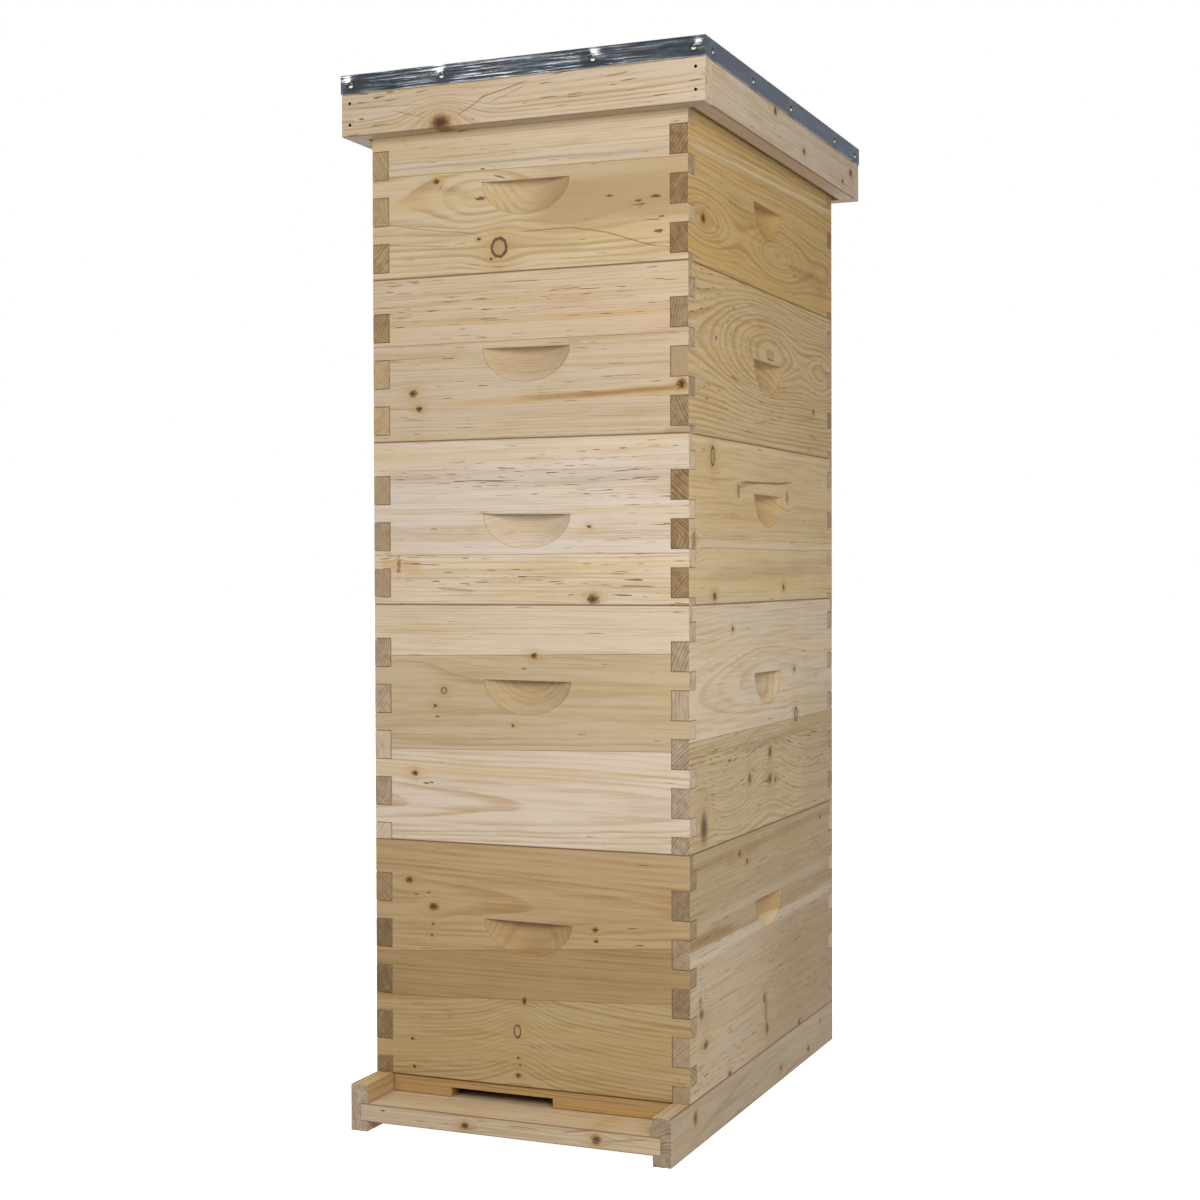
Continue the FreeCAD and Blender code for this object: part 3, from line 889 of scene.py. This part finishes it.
def paint_frames():
    """Bars of the hanging frames: one wood for each kind of bar, in all the boxes."""
    board = Board((Stave(0, CREAM, -300, 60, 0.01, 2.6, contrast=0.8, flecks=0.1),))
    level, upright = (1, 0, 2), (2, 0, 1)
    for part, axes in (("top_bars", level), ("bottom_bars", level), ("end_bars", upright)):
        place = Place(axes, (0.0, 0.0, 0.0), (1, 1, -1))
        material = wood("frame_" + part, place, FRAME_WOOD_HEIGHT, board)
        for box in BOXES:
            paint(f"{box}_frame_{part}", material)


WAX = srgb(214, 160, 62)
DEEP_WAX = srgb(176, 118, 38)
CELL_WIDTH = 5.3


def wax(name):
    """Foundation sheet, pressed with the pattern of the bees' cells."""
    graph = Graph(name)
    _, y, z = graph.coordinates()
    row = CELL_WIDTH * math.sqrt(3)
    nearest = None
    for shift in (0.0, 0.5):
        across = abs((y / CELL_WIDTH + shift).fract() - 0.5) * CELL_WIDTH
        up = abs((z / row + shift).fract() - 0.5) * row
        slanted = across * 0.5 + up * (math.sqrt(3) / 2)
        reach = graph.math("MAXIMUM", across, slanted)
        nearest = reach if nearest is None else graph.math("MINIMUM", nearest, reach)
    wall = nearest.rise(CELL_WIDTH * 0.38, CELL_WIDTH * 0.5)
    cloud = graph.noise(y / 60, z / 60, detail=3.0)
    shade = (cloud * 0.9 + wall * 0.35 + 0.2).clamp()
    colour = graph.mix(WAX, DEEP_WAX, shade)
    return graph.finish(colour, cloud * 0.2 + 0.42, wall * 0.5, Specular_IOR_Level=0.45)


def paint_foundations():
    """One wax on the sheets of all the boxes."""
    material = wax("foundation_wax")
    for box in BOXES:
        paint(box + "_foundations", material)


ZINC = srgb(164, 172, 183)
BRIGHT_ZINC = srgb(226, 230, 232)
NAIL_DIRT = srgb(40, 42, 46)
FOLD_SHADE = srgb(30, 32, 36)
FOLD_INSET = 3.0
BRIGHT_STEEL = srgb(196, 192, 168)
DULL_STEEL = srgb(96, 88, 80)


def nail_distance(graph, x, y, z, side):
    """Distance to the nearest sheet nail on one side of the cover."""
    low, high = box_mm("cover_sheet_metal")
    height = z - (high.z - SHEET_NAIL_DROP)
    along, places = (x, END_NAILS) if side == "end" else (y - low.y, SIDE_NAILS)
    nearest = None
    for place in places:
        offset = abs(along - place)
        nearest = offset if nearest is None else graph.math("MINIMUM", nearest, offset)
    return (nearest * nearest + height * height).sqrt()


def galvanised():
    """Zinc-coated sheet: a shiny scuffed band with soft dents and dimpled nails, a dull top, and
    sides painted darker as painted shade.
    """
    graph = Graph("galvanised_sheet")
    x, y, z = graph.coordinates()
    low, high = box_mm("cover_sheet_metal")
    normal = graph.normal()
    side = abs(normal[0]).rise(0.5, 0.8)
    end = abs(normal[1]).rise(0.5, 0.8)
    top = normal[2].rise(0.5, 0.8)
    upright = graph.math("MAXIMUM", side, end)
    end_nail = nail_distance(graph, x, y, z, "end")
    side_nail = nail_distance(graph, x, y, z, "side")
    from_nail = graph.mix_value(end_nail, side_nail, side)

    mottle = graph.noise(x / 16, y / 16, z / 7, detail=4.0, roughness=0.6)
    smear = graph.noise(x / 70, y / 70, z / 9, detail=2.0)
    # Painted shade: the sides' colour is made darker than the ends' and the top's
    bright = (mottle * (end * 1.4 + top * 0.8) + smear * 0.9 + 0.4 - side * 0.4).clamp()
    colour = graph.mix(ZINC, BRIGHT_ZINC, bright)

    # Dark rings of dirt round the nails, and the lines of the folded corners
    dirt = from_nail.rise(4.6, 3.2) * from_nail.rise(2.2, 2.9) * upright
    colour = graph.mix(colour, NAIL_DIRT, dirt * 0.7)
    from_fold = graph.math("MINIMUM", y - low.y, high.y - y) - FOLD_INSET
    fold = abs(from_fold).rise(0.5, 0.15) * side
    colour = graph.mix(colour, FOLD_SHADE, fold * 0.8)

    dimple = (from_nail * from_nail * -0.012).exp() * upright
    waves = graph.noise(x / 38, y / 38, z / 20, detail=1.0)
    scuff = graph.noise(x / 60, y / 60, z / 2.2, detail=3.0) * end
    relief = (waves * 0.5 + scuff * 0.19) * end - dimple * 0.9 - fold * 0.3
    roughness = scuff * 0.5 + side * 0.3 + top * 0.25 + mottle * top * 0.3 + 0.15
    return graph.finish(colour, roughness, relief, Metallic=top * -0.6 + 1.0)


def steel(name, colour, roughness):
    """Nail steel with slight tarnish."""
    graph = Graph(name)
    x, y, z = graph.coordinates()
    tarnish = graph.noise(x / 1.6, y / 1.6, z / 1.6, detail=3.0)
    shade = graph.mix(colour, tinted(colour, (0.55, 0.52, 0.48)), (tarnish * 2.0 + 0.3).clamp())
    return graph.finish(shade, tarnish * 0.3 + roughness, tarnish * 0.05, Metallic=1.0)


def paint_metal():
    """The cover's sheet and its two kinds of nail."""
    paint("cover_sheet_metal", galvanised())
    paint("cover_sheet_nails", steel("cover_sheet_nails", BRIGHT_STEEL, 0.32))
    paint("cover_rim_nails", steel("cover_rim_nails", DULL_STEEL, 0.5))


# Rounded edges: widths in millimetres, and the sharpest turn that stays as it is
WOOD_EDGE = 0.6
SHEET_EDGE = 0.3
SMOOTH_ANGLE = 40.0


def ease_edges(node, width):
    """Round a node's sharp edges a little, as sanding or folding does."""
    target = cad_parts[node]
    weld = target.modifiers.new("weld", "WELD")
    weld.merge_threshold = 1e-6
    bevel = target.modifiers.new("eased_edges", "BEVEL")
    bevel.width = width / MM
    bevel.segments = 2
    bevel.limit_method = "ANGLE"
    bevel.angle_limit = math.radians(SMOOTH_ANGLE)
    bevel.use_clamp_overlap = False
    bevel.harden_normals = True


def ease_all_edges():
    """Edges of the boards, rails, rims and entrance strip, and the folds of the cover's sheet."""
    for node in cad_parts:
        wooden = "board" in node or "rail" in node or "rim_" in node or node == "entrance_reducer"
        if wooden and node != "cover_rim_nails":
            ease_edges(node, WOOD_EDGE)
    ease_edges("cover_sheet_metal", SHEET_EDGE)


def make_floor():
    """Plain pale floor."""
    bpy.ops.mesh.primitive_plane_add(size=60)
    floor = bpy.context.object
    floor.name = "studio_floor"
    graph = Graph("studio_floor")
    x, y, _ = graph.coordinates()
    speckle = graph.noise(x / 3, y / 3, detail=2.0)
    colour = graph.mix(srgb(244, 244, 243), srgb(250, 250, 249), (speckle + 0.5).clamp())
    glow = {"Emission_Color": (1.0, 1.0, 1.0, 1.0), "Emission_Strength": 0.9}
    floor.data.materials.append(graph.finish(colour, speckle * 0.1 + 0.8, speckle * 0.02, **glow))
    floor.visible_diffuse = False


def make_sun(name, azimuth, elevation, strength, softness):
    """Soft sun that shines from an azimuth, where 0 is the hive's front and 90 its right."""
    light = bpy.data.lights.new(name, "SUN")
    light.energy = strength * math.pi
    light.angle = math.radians(softness)
    sun = bpy.data.objects.new(name, light)
    turn, rise = math.radians(azimuth), math.radians(elevation)
    level = math.cos(rise)
    source = Vector((math.sin(turn) * level, -math.cos(turn) * level, math.sin(rise)))
    sun.rotation_mode = "QUATERNION"
    sun.rotation_quaternion = source.to_track_quat("Z", "Y")
    bpy.context.scene.collection.objects.link(sun)


def make_softbox(name, place, target, size, power, mirrored=False):
    """Soft lamp that faces a target, unseen by the camera; metal mirrors it only if told to."""
    light = bpy.data.lights.new(name, "AREA")
    light.shape = "SQUARE"
    light.size = size
    light.energy = power
    light.color = (1.0, 0.985, 0.96)
    lamp = bpy.data.objects.new(name, light)
    lamp.location = place
    lamp.rotation_mode = "QUATERNION"
    lamp.rotation_quaternion = (Vector(place) - Vector(target)).to_track_quat("Z", "Y")
    lamp.visible_camera = False
    lamp.visible_glossy = mirrored
    bpy.context.scene.collection.objects.link(lamp)


def background(nodes, colour, strength):
    """Even glow from all round."""
    node = nodes.new("ShaderNodeBackground")
    node.inputs["Color"].default_value = (*colour, 1.0)
    node.inputs["Strength"].default_value = strength
    return node


def make_world():
    """White surroundings that light the hive gently and leave its metal a dark studio to mirror."""
    world = bpy.data.worlds.new("studio")
    bpy.context.scene.world = world
    world.use_nodes = True
    nodes, links = world.node_tree.nodes, world.node_tree.links
    nodes.clear()
    path = nodes.new("ShaderNodeLightPath")
    seen = background(nodes, (1.0, 1.0, 1.0), 1.0)
    glow = background(nodes, (0.97, 0.98, 1.0), 0.345)
    mirrored = background(nodes, (0.8, 0.9, 1.0), 0.12)
    output = nodes.new("ShaderNodeOutputWorld")
    surface = glow
    for ray, shown in (("Is Glossy Ray", mirrored), ("Is Camera Ray", seen)):
        mix = nodes.new("ShaderNodeMixShader")
        links.new(path.outputs[ray], mix.inputs[0])
        links.new(surface.outputs[0], mix.inputs[1])
        links.new(shown.outputs[0], mix.inputs[2])
        surface = mix
    links.new(surface.outputs[0], output.inputs["Surface"])


def make_camera():
    """Camera near the hive's front right corner, almost level with the middle of the stack."""
    data = bpy.data.cameras.new("camera")
    data.lens = CAMERA_LENS
    data.sensor_width = 36.0
    camera = bpy.data.objects.new("camera", data)
    bpy.context.scene.collection.objects.link(camera)
    yaw = math.radians(CAMERA_YAW)
    pitch = math.radians(CAMERA_PITCH)
    roll = math.radians(CAMERA_ROLL)
    level = math.cos(pitch)
    ahead = Vector((-math.sin(yaw) * level, math.cos(yaw) * level, math.sin(pitch)))
    right = Vector((math.cos(yaw), math.sin(yaw), 0.0))
    up = right.cross(ahead)
    across = right * math.cos(roll) + up * math.sin(roll)
    upward = up * math.cos(roll) - right * math.sin(roll)
    turned = Matrix((across, upward, -ahead)).transposed().to_4x4()
    camera.matrix_world = Matrix.Translation(CAMERA_PLACE) @ turned
    bpy.context.scene.camera = camera


make_camera()
make_floor()
make_world()
make_softbox("right_softbox", (1.15, -1.55, 1.1), (0.0, 0.0, 0.45), size=0.9, power=25.0)
make_softbox("left_softbox", (-0.8, -2.2, 1.5), (0.0, 0.0, 0.3), size=0.8, power=8.0)
make_softbox("glint", (-0.9, -2.2, 1.15), (0.0, 0.0, 1.0), size=0.5, power=2.4, mirrored=True)
make_softbox("back_softbox", (-1.3, 1.9, 1.3), (0.0, 0.0, 0.5), size=0.9, power=24.0)
make_sun("overhead", azimuth=0, elevation=88, strength=0.3, softness=30)
bpy.context.scene.view_settings.view_transform = "Standard"

paint_boxes()
paint_base()
paint_covers()
paint_frames()
paint_metal()
paint_foundations()
ease_all_edges()
